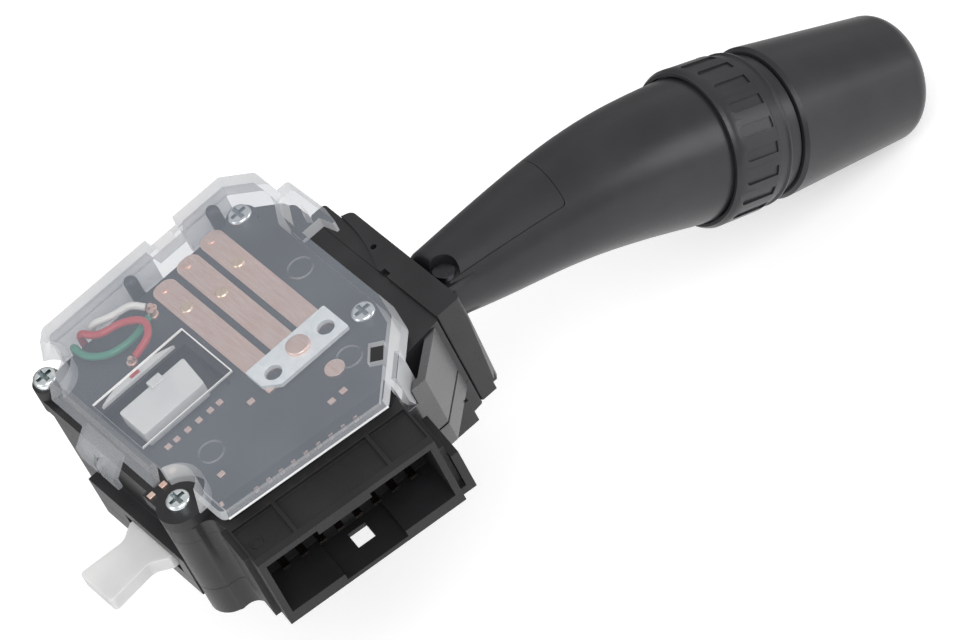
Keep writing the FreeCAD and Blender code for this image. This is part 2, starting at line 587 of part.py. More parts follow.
# Screws: a pan head with a cross recess on a plain shank
def pan_screw(x, y, seat, length, radius):
    head = Part.makeCylinder(SCREW_HEAD_RADIUS, SCREW_HEAD_HEIGHT, V(x, y, seat), UP)
    head = head.makeFillet(0.9, [edge for edge in head.Edges
                                 if abs(edge.BoundBox.ZMin - seat - SCREW_HEAD_HEIGHT) < 0.01
                                 and edge.BoundBox.ZLength < 0.01])
    shank = post(radius, x, y, seat - length, seat + 0.5)
    top = seat + SCREW_HEAD_HEIGHT
    cross = [box(x - 1.9, x + 1.9, y - 0.5, y + 0.5, top - 1.0, top + 1),
             box(x - 0.5, x + 0.5, y - 1.9, y + 1.9, top - 1.0, top + 1)]
    return cut(fuse([head, shank]), cross)


def case_screws():
    length = PLATE_TOP - 3.0
    return Part.makeCompound([pan_screw(x, y, PLATE_TOP, length, SCREW_RADIUS - 0.02)
                              for x, y in (SCREW_BACK, SCREW_FRONT)])


def plate_screws():
    return Part.makeCompound([pan_screw(x, y, PLATE_TOP, PLATE_SCREW_LENGTH, SCREW_RADIUS - 0.12)
                              for x, y in PLATE_SCREWS])


# Leaf contacts: copper strips clamped at the root, with a dished tip and a contact bump
def leaf_contact(right, tip_y, bump_y):
    left = right - LEAF_WIDTH
    z = PLATE_TOP
    strip = prism([(left, tip_y, 2.4), (left, CLAMP_FRONT + 1.4, 0), (right, CLAMP_FRONT + 1.4, 0),
                   (right, tip_y, 2.4)], z, z + LEAF_THICKNESS)
    middle = (left + right) / 2
    tip = post(0.9, middle - 0.3, tip_y - 2.1, z, z + LEAF_THICKNESS + 0.3)
    bump = Part.makeCylinder(1.5, 0.8, V(middle - 0.1, bump_y, z), UP)
    bump = bump.makeChamfer(0.25, [bump.Edges[0]])
    holes = [post(CLAMP_HOLE, x, CLAMP_HOLE_Y, z - 1, z + 3) for x in CLAMP_HOLES]
    return cut(fuse([strip, tip, bump]), holes + [post(RIVET_RADIUS, RIVET_X, RIVET_Y, z - 1, z + 3)])


def clamp_plate():
    plate = prism([(CLAMP_LEFT, CLAMP_BACK, 0.4), (CLAMP_LEFT, CLAMP_FRONT + 3.2, 0.8),
                   (CLAMP_LEFT + 3.2, CLAMP_FRONT, 0.8), (CLAMP_RIGHT, CLAMP_FRONT, 0.4),
                   (CLAMP_RIGHT, CLAMP_BACK, 0.4)], CLAMP_BASE, CLAMP_BASE + CLAMP_THICKNESS)
    holes = [post(CLAMP_HOLE, x, CLAMP_HOLE_Y, 0, COVER_TOP) for x in CLAMP_HOLES]
    return cut(plate, holes + [post(RIVET_RADIUS, RIVET_X, RIVET_Y, 0, COVER_TOP)])


def clamp_rivet():
    head = Part.makeCylinder(2.8, 0.9, V(RIVET_X, RIVET_Y, CLAMP_BASE + CLAMP_THICKNESS), UP)
    head = head.makeFillet(0.5, [edge for edge in head.Edges if edge.BoundBox.ZMin > CLAMP_BASE + 2.0])
    return fuse([head, post(RIVET_RADIUS - 0.02, RIVET_X, RIVET_Y, PLATE_TOP, CLAMP_BASE + 1.3)])


# Copper pads pressed into the contact plate and the strip that feeds the connector
def contact_pads():
    z = PLATE_TOP
    pads = [Part.makeCylinder(2.3, 0.6, V(8.1, -15.7, z), UP)]
    row = (-27.9, -25.5, -22.4, -19.3, -16.1, -13.5)
    pads += [box(x - 0.7, x + 0.7, -2.2, -0.8, z, z + 0.5) for x in row]
    singles = ((-9.0, -7.2), (2.2, -22.2), (5.5, -22.1), (-25.0, -17.3), (-31.2, -7.4),
               (-34.8, -8.7), (-38.2, -8.8))
    pads += [box(x - 0.8, x + 0.8, y - 0.7, y + 0.7, z, z + 0.5) for x, y in singles]
    return Part.makeCompound(pads)


def feed_strip():
    strip = box(2.0, 38.0, PLUG_LENGTH + 2.6, PLUG_LENGTH + 3.8, PLATE_TOP, PLATE_TOP + 0.5)
    return plug_place(strip)


# White slider driven across its window by the carrier's peg
def slider_block():
    z0 = FRAME_TOP + JOINT_GAP
    z1 = z0 + SLIDER_HEIGHT
    body = prism([(SLIDER_LEFT, SLIDER_BACK, 0.6), (SLIDER_LEFT, SLIDER_FRONT, 0.6),
                  (SLIDER_RIGHT - 1.2, SLIDER_FRONT, 0.6), (SLIDER_RIGHT, SLIDER_BACK, 0.6)], z0, z1)
    tab = box(-21.6, -18.6, SLIDER_BACK - 1, SLIDER_BACK + 0.9, z0, z1 - 1.0)
    swing = math.radians(TURN_RANGE)
    forward = PEG_Y * math.sin(swing) + PEG_RADIUS + 0.6
    side = PEG_RADIUS + 0.2
    slot = box(PEG_X - forward, PEG_X + forward, PEG_Y - side, PEG_Y + side, z0 - 1, z0 + 3.6)
    return fuse([body, tab]).cut(slot)


# Curved strip: a straight edge along the window and a bowed edge behind it
def curved_strip():
    first = V(-31.0, 19.0, PLATE_TOP)
    last = V(-10.5, 19.0, PLATE_TOP)
    edges = [Part.LineSegment(first, last).toShape(),
             Part.Arc(last, V(-20.8, 21.3, PLATE_TOP), first).toShape()]
    return Part.Face(Part.Wire(edges)).extrude(V(0, 0, 1.2))


# Leads: straight runs joined by tangent arcs
def lead(points):
    runs = []
    start = V(*points[0])
    for i in range(1, len(points) - 1):
        before, corner, after = V(*points[i - 1]), V(*points[i]), V(*points[i + 1])
        back = before - corner
        ahead = after - corner
        turn = math.pi - back.getAngle(ahead)
        radius = 0.45 * min(back.Length, ahead.Length) / math.tan(turn / 2)
        reach = radius * math.tan(turn / 2)
        back.normalize()
        ahead.normalize()
        first = corner + back * reach
        last = corner + ahead * reach
        centre_line = (back + ahead).normalize()
        middle = corner + centre_line * (radius / math.cos(turn / 2) - radius)
        runs.append(Part.LineSegment(start, first).toShape())
        runs.append(Part.Arc(first, middle, last).toShape())
        print("lead bend radius %.2f" % radius)
        start = last
    runs.append(Part.LineSegment(start, V(*points[-1])).toShape())
    path = Part.Wire(runs)
    section = Part.Wire([Part.makeCircle(LEAD_RADIUS, V(*points[0]), V(*points[1]) - V(*points[0]))])
    return path.makePipeShell([section], True, True)


def solder_joints():
    domes = []
    for route in (GREEN_ROUTE, RED_ROUTE, WHITE_ROUTE):
        end = V(*route[-1])
        along = (end - V(*route[-2])).normalize()
        foot = end + along * 1.3
        eye = post(1.25, foot.x, foot.y, PLATE_TOP, PLATE_TOP + 0.5)
        domes.append(fuse([eye, Part.makeCone(1.0, 0.6, 1.7, V(foot.x, foot.y, PLATE_TOP), UP)]))
    return Part.makeCompound(domes)


# Carrier: turns about the vertical axis and forks round the lever's root
def turn_carrier():
    half = SHANK_WIDTH / 2 + JOINT_GAP
    hub = post(HUB_RADIUS, 0, 0, CARRIER_BOTTOM, CARRIER_TOP)
    journals = [post(JOURNAL_RADIUS, 0, 0, 4.0, CARRIER_BOTTOM),
                post(JOURNAL_RADIUS, 0, 0, CARRIER_TOP, HOUSING_TOP + 2.8)]
    cheeks = [box(2, TILT_PIN_X + 4.5, side, side + CHEEK, 10.5, CARRIER_TOP - 0.6)
              for side in (half, -half - CHEEK)]
    tail = box(CARRIER_TAIL, 0, -5, 5, CARRIER_BOTTOM, CARRIER_TOP)
    lug = box(PEG_X - 3, PEG_X + 3, 0, PEG_Y + 3, 19.0, CARRIER_TOP)
    peg = post(PEG_RADIUS, PEG_X, PEG_Y, 19.0, FRAME_TOP + 3.4)
    arm = box(-4.6, 4.6, 0, DETENT_RADIUS - 5.0, CARRIER_BOTTOM, CARRIER_TOP - 0.6)
    whole = fuse([hub, tail, lug, peg, arm] + cheeks + journals)
    pin_hole = rod(TILT_PIN_RADIUS, V(TILT_PIN_X, -30, TILT_PIN_Z), V(TILT_PIN_X, 30, TILT_PIN_Z))
    bore = rod(PLUNGER_RADIUS + RUNNING_GAP, V(0, DETENT_RADIUS - 17.0, DETENT_Z), V(0, 40, DETENT_Z))
    return cut(whole, [pin_hole, bore])


def tilt_pin():
    reach = SHANK_WIDTH / 2 + JOINT_GAP + CHEEK
    return rod(TILT_PIN_RADIUS, V(TILT_PIN_X, -reach, TILT_PIN_Z), V(TILT_PIN_X, reach, TILT_PIN_Z))


# Detents: round-nosed plungers on springs, and the notched cam that the turn plunger runs on
def plunger(nose_end, length):
    stem = rod(PLUNGER_RADIUS, V(0, nose_end - PLUNGER_RADIUS - length, 0),
               V(0, nose_end - PLUNGER_RADIUS, 0))
    return fuse([stem, Part.makeSphere(PLUNGER_RADIUS, V(0, nose_end - PLUNGER_RADIUS, 0))])


def coil_spring(start, stop, radius, turns):
    height = stop - start - 2 * SPRING_WIRE
    helix = Part.makeHelix(height / turns, height, radius)
    section = Part.Wire([Part.makeCircle(SPRING_WIRE, V(radius, 0, 0), V(0, 1, 0.1))])
    coil = Part.Wire(helix.Edges).makePipeShell([section], True, True)
    coil.rotate(V(0, 0, 0), V(1, 0, 0), -90)
    coil.translate(V(0, start + SPRING_WIRE, 0))
    return coil


def turn_plunger():
    piece = plunger(DETENT_RADIUS, PLUNGER_LENGTH)
    piece.translate(V(0, 0, DETENT_Z))
    return piece


def turn_spring():
    stop = DETENT_RADIUS - PLUNGER_RADIUS - PLUNGER_LENGTH - PLUNGER_TRAVEL - 0.1
    coil = coil_spring(DETENT_RADIUS - 17.0, stop, PLUNGER_RADIUS - SPRING_WIRE - 0.1, 4)
    coil.translate(V(0, 0, DETENT_Z))
    return coil


def detent_cam():
    block = box(-CAM_HALF_WIDTH, CAM_HALF_WIDTH, DETENT_RADIUS - 2, CASE_BACK - CASE_WALL, CAM_LOW, CAM_HIGH)
    block = block.cut(post(DETENT_RADIUS + JOINT_GAP, 0, 0, 10, 30))
    valleys = []
    for angle in (-TURN_RANGE, 0, TURN_RANGE):
        turn = math.radians(angle)
        reach = DETENT_RADIUS - PLUNGER_RADIUS
        valleys.append(post(PLUNGER_RADIUS + 0.9, reach * math.sin(turn), reach * math.cos(turn), 10, 30))
    return cut(block, valleys)


# Lever: set out along X, tilted at its root, bent along an arc and straight again at the tip
root_slope = math.radians(ROOT_TILT)
tip_slope = math.radians(TIP_TILT)
bend_end = BEND_START + BEND_RADIUS * (math.sin(tip_slope) - math.sin(root_slope))
bend_start_z = TILT_PIN_Z - (BEND_START - TILT_PIN_X) * math.tan(root_slope)
bend_end_z = bend_start_z - BEND_RADIUS * (math.cos(root_slope) - math.cos(tip_slope))


def lever_point(x):
    if x <= BEND_START:
        return V(x, 0, TILT_PIN_Z - (x - TILT_PIN_X) * math.tan(root_slope)), root_slope
    if x >= bend_end:
        return V(x, 0, bend_end_z - (x - bend_end) * math.tan(tip_slope)), tip_slope
    slope = math.asin((x - BEND_START) / BEND_RADIUS + math.sin(root_slope))
    return V(x, 0, bend_start_z - BEND_RADIUS * (math.cos(root_slope) - math.cos(slope))), slope


def lever_loft(inset, first_x, last_x):
    stations = [(x, radius) for x, radius in NECK_RADII if first_x <= x <= last_x]
    if last_x >= RING_START_X:
        stations.append((RING_START_X - 0.2, NECK_END_RADIUS))
    circles = []
    for x, radius in stations:
        centre, slope = lever_point(x)
        normal = V(math.cos(slope), 0, -math.sin(slope))
        circles.append(Part.Wire([Part.makeCircle(radius - inset, centre, normal)]))
    return Part.makeLoft(circles, True, False)


def yawed(shape):
    turned = shape.copy()
    turned.rotate(V(0, 0, 0), UP, LEVER_YAW)
    return turned


def at_root(shape):
    placed = shape.copy()
    placed.rotate(V(0, 0, 0), V(0, 1, 0), ROOT_TILT)
    placed.translate(V(TILT_PIN_X, 0, TILT_PIN_Z))
    return placed


def on_tip_line(shape):
    placed = shape.copy()
    placed.rotate(V(0, 0, 0), V(0, 1, 0), TIP_TILT)
    placed.translate(lever_point(RING_START_X)[0])
    return placed


def at_tip(shape):
    return yawed(on_tip_line(shape))


def tip_rod(radius, start, end):
    return rod(radius, V(start, 0, 0), V(end, 0, 0))


# A profile of (along, radius) pairs spun about the lever's tip axis
def spun(profile):
    points = [V(along, 0, radius) for along, radius in profile]
    face = Part.Face(Part.makePolygon(points + [points[0]]))
    return face.revolve(V(0, 0, 0), V(1, 0, 0), 360)


def patch_block(gap):
    corners = [(-1.0 - gap, 30.0, 0), (-1.0 - gap, PATCH_SIDE_ROOT - gap, 0),
               (PATCH_LENGTH + gap, PATCH_SIDE_END - gap, 1.0), (PATCH_LENGTH + 4.4 + gap, 30.0, 0)]
    block = prism(corners, -gap, 40.0)
    block.rotate(V(0, 0, 0), V(0, 1, 0), ROOT_TILT)
    block.translate(lever_point(NECK_START)[0])
    return block


def neck_screw_rod(radius, low, high):
    up = V(math.sin(root_slope), 0, math.cos(root_slope))
    base = lever_point(NECK_SCREW_X)[0] + V(0, NECK_SCREW_Y, 0)
    return rod(radius, base + up * low, base + up * high)


def lever_skin(gap):
    outside = lever_loft(0, NECK_START, RING_START_X)
    rim = [edge for edge in outside.Edges if edge.BoundBox.XMax < NECK_START + 3 and edge.isClosed()]
    inside = lever_loft(LEVER_WALL + gap, NECK_START, 101.0)
    return outside.makeFillet(NECK_ROUND, rim).cut(inside)


def lever_body():
    shell = lever_skin(0).cut(patch_block(PATCH_GAP))
    spigot = on_tip_line(tip_rod(RING_BORE - RUNNING_GAP, -4.0, RING_LENGTH + 0.2))
    nose = on_tip_line(tip_rod(BAND_BORE, RING_LENGTH, RING_LENGTH + BAND_LENGTH + 0.2))
    spindle = on_tip_line(tip_rod(SPINDLE_RADIUS, RING_LENGTH, RING_LENGTH + BAND_LENGTH + SPINDLE_LENGTH))
    shank = at_root(box(-SHANK_TAIL, SHANK_REACH, -SHANK_WIDTH / 2, SHANK_WIDTH / 2,
                        -SHANK_HEIGHT / 2, SHANK_HEIGHT / 2))
    shank = shank.cut(yawed(lever_skin(PATCH_GAP).common(patch_block(PATCH_GAP))))
    neck = fuse([yawed(shape) for shape in (shell, spigot, nose, spindle)] + [shank])
    thread = neck_screw_rod(NECK_SCREW_SHANK + RUNNING_GAP, NECK_SCREW_SEAT - NECK_SCREW_LENGTH - 0.5, 20.0)
    eye = rod(TILT_PIN_RADIUS + RUNNING_GAP, V(TILT_PIN_X, -30, TILT_PIN_Z), V(TILT_PIN_X, 30, TILT_PIN_Z))
    return cut(neck, [yawed(thread), eye])


def lever_patch():
    skin = lever_skin(0).common(patch_block(0))
    recess = neck_screw_rod(NECK_SCREW_RECESS, NECK_SCREW_SEAT, 20.0)
    hole = neck_screw_rod(NECK_SCREW_SHANK + PATCH_GAP, 0.0, 20.0)
    return yawed(cut(skin, [recess, hole]))


def neck_screw():
    seat = NECK_SCREW_SEAT
    head = neck_screw_rod(NECK_SCREW_HEAD, seat, seat + 1.2)
    shank = neck_screw_rod(NECK_SCREW_SHANK, seat - NECK_SCREW_LENGTH, seat + 0.4)
    return yawed(fuse([head, shank]))


# Fog ring: a proud lip over the lever's end, pockets between ribs and a plain band with a ridge
def fog_ring():
    ribs_end = RING_LENGTH - 4.4
    body = spun([(0.1, RING_BORE), (0.1, RING_LIP_BORE), (-1.0, RING_LIP_BORE), (-1.0, RING_RADIUS - 0.7),
                 (0.2, RING_RADIUS), (ribs_end, RING_RADIUS - 0.2), (ribs_end + 0.5, RING_RADIUS - 0.7),
                 (RING_LENGTH - 1.3, RING_RADIUS - 0.9), (RING_LENGTH - 0.9, RING_RADIUS - 0.5),
                 (RING_LENGTH - 0.4, RING_RADIUS - 0.6), (RING_LENGTH, RING_RADIUS - 1.2),
                 (RING_LENGTH, RING_BORE)])
    half = RING_GROOVE_WIDTH / 2
    floor = RING_RADIUS - RING_GROOVE_DEPTH
    grooves = []
    for i in range(RING_GROOVES):
        groove = box(1.4 + half, ribs_end - 0.4, -half, half, floor, RING_RADIUS + 2)
        groove = groove.fuse(rod(half, V(1.4 + half, 0, floor), V(1.4 + half, 0, RING_RADIUS + 2)))
        groove.rotate(V(0, 0, 0), V(1, 0, 0), 360.0 / RING_GROOVES * i)
        grooves.append(groove)
    return at_tip(body.cut(Part.makeCompound(grooves)))


def index_band():
    start = RING_LENGTH + 0.3
    stop = RING_LENGTH + BAND_LENGTH
    return at_tip(spun([(start, BAND_BORE), (start, BAND_RADIUS), (stop, BAND_RADIUS), (stop, BAND_BORE)]))


# End knob: a tapered cap with a rolled end edge and a hub on the spindle
def end_knob():
    start = RING_LENGTH + BAND_LENGTH + 0.3
    stop = start + KNOB_LENGTH
    edge = KNOB_EDGE
    hub = SPINDLE_RADIUS + RUNNING_GAP
    bore_end = RING_LENGTH + BAND_LENGTH + SPINDLE_LENGTH + 0.5
    arc_mid = V(stop - edge + edge * math.sin(math.pi / 4), 0,
                KNOB_TIP_RADIUS - edge + edge * math.cos(math.pi / 4))
    outer_end = V(stop, 0, KNOB_TIP_RADIUS - edge)
    points = [V(start, 0, KNOB_RADIUS - KNOB_WALL), V(start, 0, KNOB_RADIUS - 0.8),
              V(start + 0.8, 0, KNOB_RADIUS), V(stop - edge, 0, KNOB_TIP_RADIUS)]
    flat = KNOB_TIP_RADIUS - edge
    dome_radius = (flat ** 2 + KNOB_CROWN ** 2) / (2 * KNOB_CROWN)
    dome = V(stop + KNOB_CROWN, 0, 0)
    dome_mid = V(dome.x - dome_radius + math.sqrt(dome_radius ** 2 - flat ** 2 / 4), 0, flat / 2)
    inner = [V(bore_end, 0, 0), V(bore_end, 0, hub), V(start + 1.0, 0, hub), V(start + 1.0, 0, hub + 1.8),
             V(stop - 6.0, 0, hub + 1.8), V(stop - 6.0, 0, KNOB_TIP_RADIUS - KNOB_WALL - 1.0)]
    edges = [Part.LineSegment(a, b).toShape() for a, b in zip(points, points[1:])]
    edges.append(Part.Arc(points[-1], arc_mid, outer_end).toShape())
    edges.append(Part.Arc(outer_end, dome_mid, dome).toShape())
    chain = [dome] + inner + [points[0]]
    edges += [Part.LineSegment(a, b).toShape() for a, b in zip(chain, chain[1:])]
    return at_tip(Part.Face(Part.Wire(edges)).revolve(V(0, 0, 0), V(1, 0, 0), 360))


# Cancel finger: a flat white pawl on a fixed pin, with a flared root inside its window
def cancel_finger():
    pivot = FINGER_PIVOT_X
    half = [(pivot + 4.2, 4.2, 3.6), (pivot - 2.5, 4.8, 1.5), (GUIDE_LEFT + 3.0, FINGER_ROOT_WIDTH / 2, 1.0),
            (GUIDE_LEFT - 0.6, FINGER_ROOT_WIDTH / 2, 0.4), (GUIDE_LEFT - 4.4, FINGER_NECK_WIDTH / 2, 3.0),
            (FINGER_TIP_X, FINGER_TIP_WIDTH / 2, 1.0)]
    corners = half + [(x, -y, radius) for x, y, radius in reversed(half)]
    body = prism(corners, FINGER_BOTTOM, FINGER_BOTTOM + FINGER_THICKNESS)
    return body.cut(post(FINGER_PIN_RADIUS + RUNNING_GAP, pivot, 0, 0, 20))


leads = {"lead_green": GREEN_ROUTE, "lead_red": RED_ROUTE, "lead_white": WHITE_ROUTE}
pieces = {
    "bottom_cover": bottom_cover, "main_housing": main_housing, "middle_frame": middle_frame,
    "contact_plate": contact_plate, "column_flange": column_flange, "side_guides": side_guides,
    "connector_shroud": connector_shroud, "connector_pins": connector_pins,
    "clear_cover": clear_cover, "case_screws": case_screws, "plate_screws": plate_screws,
    "clamp_plate": clamp_plate, "clamp_rivet": clamp_rivet, "contact_pads": contact_pads,
    "feed_strip": feed_strip, "slider_block": slider_block, "curved_strip": curved_strip,
    "detent_cam": detent_cam, "turn_carrier": turn_carrier, "tilt_pin": tilt_pin,
    "turn_plunger": turn_plunger, "turn_spring": turn_spring, "lever_body": lever_body,
    "lever_patch": lever_patch, "neck_screw": neck_screw, "fog_ring": fog_ring,
    "index_band": index_band, "end_knob": end_knob, "cancel_finger": cancel_finger}
for name, make in pieces.items():
    save(name, make())
for name, route in leads.items():
    save(name, lead(route))
save("solder_joints", solder_joints())
for i, (right_edge, tip_y, bump_y) in enumerate(LEAVES):
    save("leaf_contact_%d" % (i + 1), leaf_contact(right_edge, tip_y, bump_y))
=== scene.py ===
# %% [markdown]
# # A column stalk switch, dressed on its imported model
#
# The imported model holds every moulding, screw and contact at its real size. This lesson gives
# each one the finish that the real part has: grained black polyamide and ABS, a milky
# polypropylene lid, copper springs, zinc-plated screws and white acetal. Lengths are in metres,
# so MM turns millimetres into them.

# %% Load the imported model
import json
import math
import bmesh
import bpy
from mathutils import Matrix, Vector


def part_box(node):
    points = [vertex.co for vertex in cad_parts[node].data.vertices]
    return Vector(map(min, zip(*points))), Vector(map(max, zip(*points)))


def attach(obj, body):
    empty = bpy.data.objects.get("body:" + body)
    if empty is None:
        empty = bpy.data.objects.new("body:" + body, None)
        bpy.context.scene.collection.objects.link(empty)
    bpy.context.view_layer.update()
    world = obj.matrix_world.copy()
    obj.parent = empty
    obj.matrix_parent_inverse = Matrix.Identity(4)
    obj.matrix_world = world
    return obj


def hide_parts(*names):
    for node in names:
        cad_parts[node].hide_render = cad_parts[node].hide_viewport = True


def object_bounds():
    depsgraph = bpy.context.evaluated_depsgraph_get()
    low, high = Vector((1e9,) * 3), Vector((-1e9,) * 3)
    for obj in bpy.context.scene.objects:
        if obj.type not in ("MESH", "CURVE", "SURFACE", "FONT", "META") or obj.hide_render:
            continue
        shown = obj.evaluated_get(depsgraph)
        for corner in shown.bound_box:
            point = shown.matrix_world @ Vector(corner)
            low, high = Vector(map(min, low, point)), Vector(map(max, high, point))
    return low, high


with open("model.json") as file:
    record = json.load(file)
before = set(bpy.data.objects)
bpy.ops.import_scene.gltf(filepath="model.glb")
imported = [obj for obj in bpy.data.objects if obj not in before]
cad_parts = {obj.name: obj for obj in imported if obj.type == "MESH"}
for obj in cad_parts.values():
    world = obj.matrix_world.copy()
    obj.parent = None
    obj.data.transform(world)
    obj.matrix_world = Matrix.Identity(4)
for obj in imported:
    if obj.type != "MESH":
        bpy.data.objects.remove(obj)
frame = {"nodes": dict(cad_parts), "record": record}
cad_low, cad_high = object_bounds()
MM = 0.001
bodies = frame["record"]["behaviour"]["bodies"]
node_bodies = {node: body for body, nodes in bodies.items() for node in nodes}
print("nodes", len(frame["nodes"]), "box", [round(v / MM, 1) for v in (*cad_low, *cad_high)])

# %% [markdown]
# ## Colours and nodes
#
# A colour is read from a photograph as an sRGB hex value, and the renderer wants linear light.
# One function turns one into the other. A second small function adds a shader node with its
# settings and links, so each material below reads as a list of what it is made of. Patterns take
# their scale from a real size in millimetres.

# %% Colour and node helpers
def linear(hex_text):
    channels = [int(hex_text[i:i + 2], 16) / 255 for i in (1, 3, 5)]
    light = [c / 12.92 if c <= 0.04045 else ((c + 0.055) / 1.055) ** 2.4 for c in channels]
    return (*light, 1.0)


def add(owner, kind, inputs=None, **settings):
    node = owner.node_tree.nodes.new(kind)
    for name, value in settings.items():
        setattr(node, name, value)
    for name, value in (inputs or {}).items():
        if isinstance(value, bpy.types.NodeSocket):
            owner.node_tree.links.new(value, node.inputs[name])
        else:
            node.inputs[name].default_value = value
    return node


def per_mm(size):
    return 1 / (size * MM)


def new_material(name):
    material = bpy.data.materials.new(name)
    material.use_nodes = True
    material.node_tree.nodes.clear()
    return material


print("linear value of mid grey", round(linear("#808080")[0], 3))

# %% [markdown]
# ## Grained black plastics
#
# The case is glass-filled polyamide, moulded in a lightly textured tool, so its black is a little
# uneven. The corner wall beside the socket comes from a smooth tool and shines like a dull mirror;
# its black is painted lighter, as painted sheen for the white surround that it mirrors. The
# socket's tool is rough, which makes it the dullest black. The lever, ring and knob are ABS from a
# spark-eroded tool: a finer grain with more sheen. The slider and the finger are natural acetal,
# white and slightly see-through at the skin.
#
# All are one recipe with two noises. A broad one shifts the colour between two near tones. The
# grain moves the roughness and goes to the bump. A real grain of 0.1 mm would vanish at this
# distance, so it is drawn at about 0.4 mm.

# %% Moulded plastics
CLOUD_SIZE = 14.0
CLOUD_STOPS = (0.35, 0.68)
DULL_SKIN = 0.42


def grained_plastic(name, dark, pale, gloss, grain_mm, relief_mm, through=0.0, shine_level=0.5):
    material = new_material(name)
    where = add(material, "ShaderNodeTexCoord").outputs["Object"]
    grain = add(material, "ShaderNodeTexNoise", {
        "Vector": where, "Scale": per_mm(grain_mm), "Detail": 3.0, "Roughness": 0.6})
    cloud = add(material, "ShaderNodeTexNoise", {
        "Vector": where, "Scale": per_mm(CLOUD_SIZE), "Detail": 4.0})
    tone = add(material, "ShaderNodeValToRGB", {"Fac": cloud.outputs["Fac"]})
    for end, stop, colour in zip(tone.color_ramp.elements, CLOUD_STOPS, (dark, pale)):
        end.position, end.color = stop, linear(colour)
    gloss_low, gloss_high = gloss
    shine = add(material, "ShaderNodeMapRange", {
        "Value": grain.outputs["Fac"], "From Min": 0.3, "From Max": 0.7,
        "To Min": gloss_low, "To Max": gloss_high})
    bump = add(material, "ShaderNodeBump", {
        "Height": grain.outputs["Fac"], "Strength": 0.5, "Distance": relief_mm * MM})
    shader = add(material, "ShaderNodeBsdfPrincipled", {
        "Base Color": tone.outputs["Color"], "Roughness": shine.outputs["Result"],
        "Normal": bump.outputs["Normal"], "IOR": 1.50, "Specular IOR Level": shine_level,
        "Subsurface Weight": through, "Subsurface Radius": (2 * MM, 2 * MM, 2 * MM),
        "Subsurface Scale": 1.0})
    add(material, "ShaderNodeOutputMaterial", {"Surface": shader.outputs["BSDF"]})
    return material


case_polyamide = grained_plastic("glass_filled_polyamide_black", "#1e1e20", "#29292b", (0.26, 0.40),
                                 0.45, 0.02, shine_level=DULL_SKIN)
# A lighter black than the case: painted sheen for the white surround mirrored in the wall.
sheen_painted_polyamide = grained_plastic("smooth_polyamide_black_painted_sheen", "#3a3a3c", "#464648", (0.18, 0.28),
                                 0.45, 0.008, shine_level=1.0)
plate_polyamide = grained_plastic("fine_polyamide_black", "#1e1e20", "#232325", (0.40, 0.50),
                                  0.45, 0.003, shine_level=DULL_SKIN)
socket_polyamide = grained_plastic("matt_polyamide_black", "#19191a", "#212123", (0.48, 0.62),
                                   0.45, 0.04, shine_level=DULL_SKIN)
lever_abs = grained_plastic("spark_eroded_abs_black", "#242427", "#2c2c2f", (0.28, 0.38),
                            0.40, 0.015, shine_level=DULL_SKIN)
acetal = grained_plastic("natural_acetal_white", "#d4d4d4", "#e2e2e1", (0.34, 0.46), 1.2, 0.02, 0.4)
print("plastics", case_polyamide.name, lever_abs.name, acetal.name)

# %% [markdown]
# ## Wire insulation
#
# The leads are stranded wire in soft PVC. PVC is smooth and a little glossy, and its colour
# shifts slightly along the lead, so one function makes all three from a pair of near hues. The
# red mark that an assembler dabs on the curved strip has the same smooth skin.

# %% Wire insulation
def insulation(name, dark, pale):
    return grained_plastic(name, dark, pale, (0.26, 0.34), 2.0, 0.01)


green_pvc = insulation("pvc_insulation_green", "#1f7a5e", "#2c8c6c")
red_pvc = insulation("pvc_insulation_red", "#b32a30", "#c5373b")
white_pvc = insulation("pvc_insulation_white", "#dedcd8", "#f0eeea")
paint_mark = insulation("marking_paint_red", "#b03a3e", "#c2474a")
print("wires", green_pvc.name, red_pvc.name, white_pvc.name)

# %% [markdown]
# ## Metals
#
# Copper alloy strip is rolled before it is stamped, so it has fine lines along the strip. Zinc
# plate is bright and finely mottled, and it is painted darker down in a screw's recess, as painted
# shade. The tin on the blades is painted dark, as painted shade for blades deep in the socket, and
# the contact bumps are a pale silver alloy. A metal's colour is its reflection, so metallic is 1
# and the IOR stays at its default. The clamp bar is zinc with a chalky passivated skin, which
# scatters more than it mirrors, so its metallic is low.

# %% Metals
GRAIN_STOPS = (0.3, 0.7)
PLATE_RELIEF = 0.02 * MM
ALONG_THE_STRIP = (1.0, 0.08, 1.0)


def plated_metal(name, dark, pale, gloss, grain_mm, stretch=(1.0, 1.0, 1.0), metal=1.0):
    material = new_material(name)
    where = add(material, "ShaderNodeTexCoord").outputs["Object"]
    drawn = add(material, "ShaderNodeMapping", {"Vector": where, "Scale": stretch})
    grain = add(material, "ShaderNodeTexNoise", {
        "Vector": drawn.outputs["Vector"], "Scale": per_mm(grain_mm), "Detail": 4.0})
    tone = add(material, "ShaderNodeValToRGB", {"Fac": grain.outputs["Fac"]})
    for end, stop, colour in zip(tone.color_ramp.elements, GRAIN_STOPS, (dark, pale)):
        end.position, end.color = stop, linear(colour)
    gloss_low, gloss_high = gloss
    shine = add(material, "ShaderNodeMapRange", {
        "Value": grain.outputs["Fac"], "To Min": gloss_low, "To Max": gloss_high})
    bump = add(material, "ShaderNodeBump", {
        "Height": grain.outputs["Fac"], "Strength": 0.3, "Distance": PLATE_RELIEF})
    shader = add(material, "ShaderNodeBsdfPrincipled", {
        "Base Color": tone.outputs["Color"], "Metallic": metal,
        "Roughness": shine.outputs["Result"], "Normal": bump.outputs["Normal"]})
    add(material, "ShaderNodeOutputMaterial", {"Surface": shader.outputs["BSDF"]})
    return material


